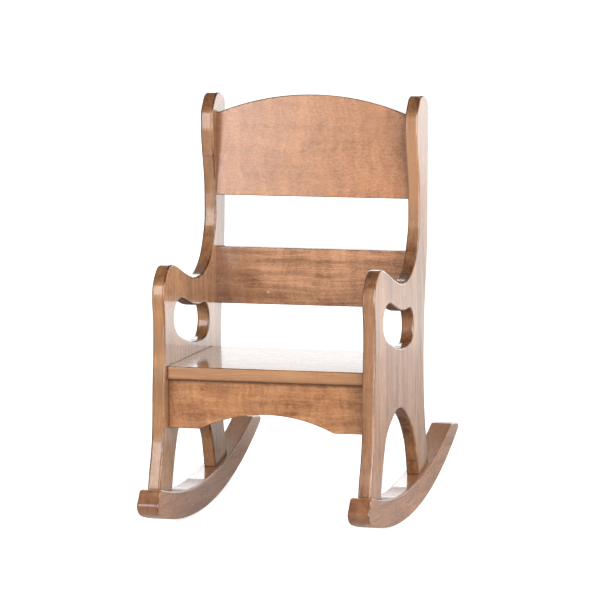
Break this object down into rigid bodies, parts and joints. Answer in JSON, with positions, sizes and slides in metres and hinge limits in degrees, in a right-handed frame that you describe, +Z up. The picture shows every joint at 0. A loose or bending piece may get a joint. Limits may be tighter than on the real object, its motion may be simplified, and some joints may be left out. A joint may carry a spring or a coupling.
{
  "type": "rocking chair",
  "caption": "Child's rocking chair of flat boards: profile-sawn side panels with hand holes and leg arches on curved rockers, arched crest, slat, seat and apron.",
  "frame": {"origin": "on the floor under the middle of the chair's bounding box", "axes": "+X across the chair, the front faces -Y, +Z up; the chair is tilted back on its rockers to the pose in which it comes to rest"},
  "size_m": [0.351, 0.549, 0.6063],
  "materials": {
    "panel_wood": "stained, clear gloss lacquer",
    "rocker_wood": "stained, clear gloss lacquer",
    "seat_wood": "stained, clear gloss lacquer",
    "apron_wood": "stained, clear gloss lacquer",
    "crest_wood": "stained, clear gloss lacquer",
    "slat_wood": "stained, clear gloss lacquer",
    "cleat_wood": "stained, clear gloss lacquer",
    "dowel_wood": "bare hardwood",
    "screw_steel": "zinc plated"
  },
  "bodies": {
    "root": {"side_panel_left": "panel_wood", "side_panel_right": "panel_wood", "rocker_left": "rocker_wood", "rocker_right": "rocker_wood", "seat_board": "seat_wood", "front_apron": "apron_wood", "crest_slat": "crest_wood", "lower_slat": "slat_wood", "seat_cleat_left": "cleat_wood", "seat_cleat_right": "cleat_wood", "apron_glue_block_left": "cleat_wood", "apron_glue_block_right": "cleat_wood", "crest_dowels": "dowel_wood", "lower_slat_dowels": "dowel_wood", "apron_dowels": "dowel_wood", "rocker_dowels": "dowel_wood", "rocker_plugs": "dowel_wood", "cleat_screws": "screw_steel", "seat_screws": "screw_steel", "rocker_screws": "screw_steel"}
  },
  "joints": []
}
